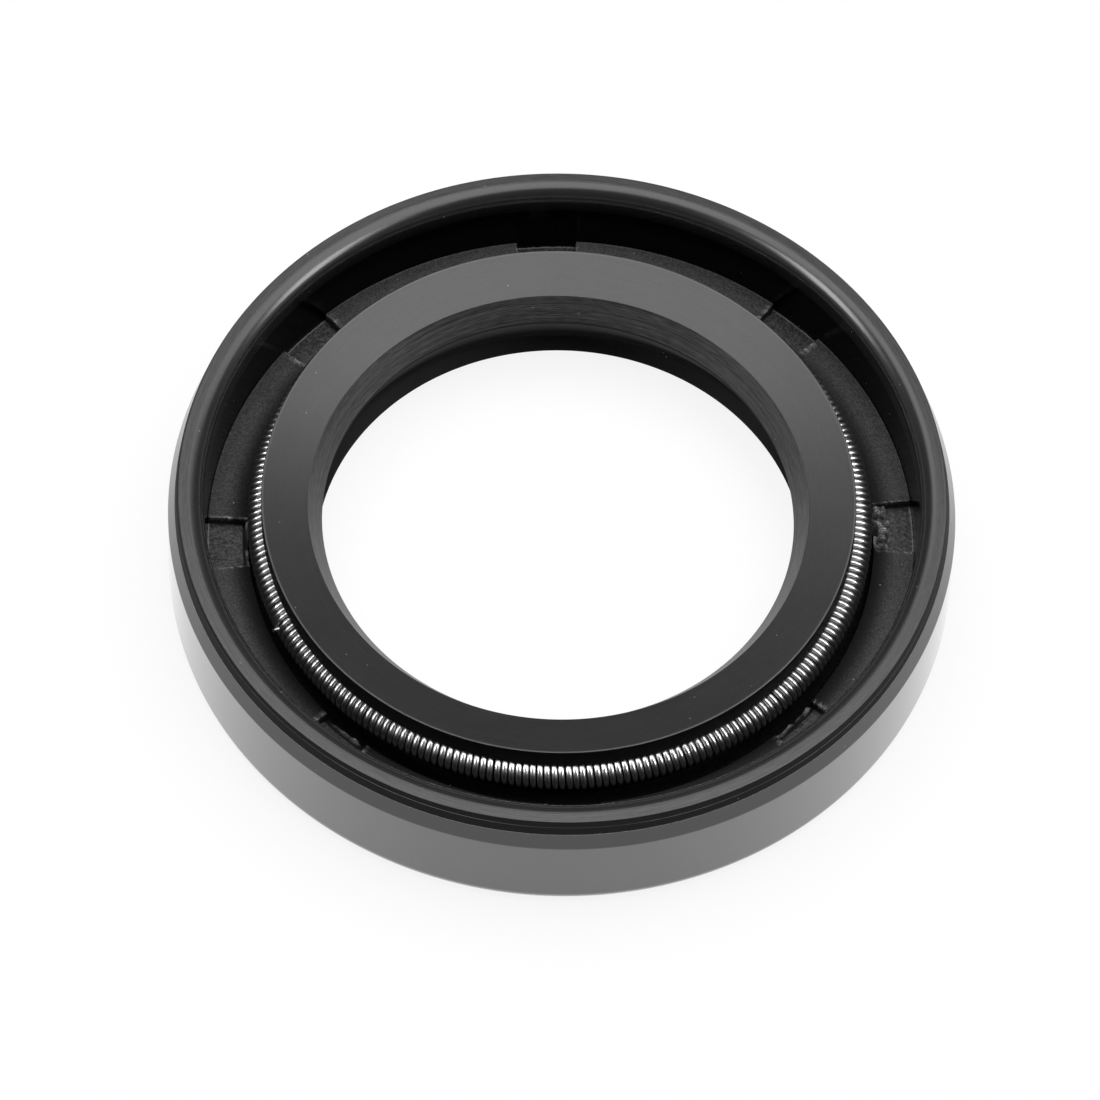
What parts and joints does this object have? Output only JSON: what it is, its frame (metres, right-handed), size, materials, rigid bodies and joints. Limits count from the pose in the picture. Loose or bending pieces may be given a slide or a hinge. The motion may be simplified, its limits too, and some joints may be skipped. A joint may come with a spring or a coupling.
{
  "type": "radial shaft seal",
  "caption": "Rubber-covered rotary shaft seal with a garter-sprung main lip and a dust lip, pressed into a housing bore round a turning shaft.",
  "frame": {"origin": "on the seal's axis, in the plane of the back face, on which it lies", "axes": "+Z along the axis, from the back face (air side) towards the spring side (fluid side)"},
  "size_m": [0.04, 0.04, 0.007],
  "materials": {
    "rubber": "black nitrile rubber, fine matt grain with smoother turned and glossy moulded bands",
    "coated_steel": "rough dark bonding coat on pressed sheet steel",
    "spring_steel": "bright drawn spring wire"
  },
  "bodies": {
    "root": {"seal_body": "rubber", "steel_case": "coated_steel", "garter_spring": "spring_steel"}
  },
  "joints": []
}
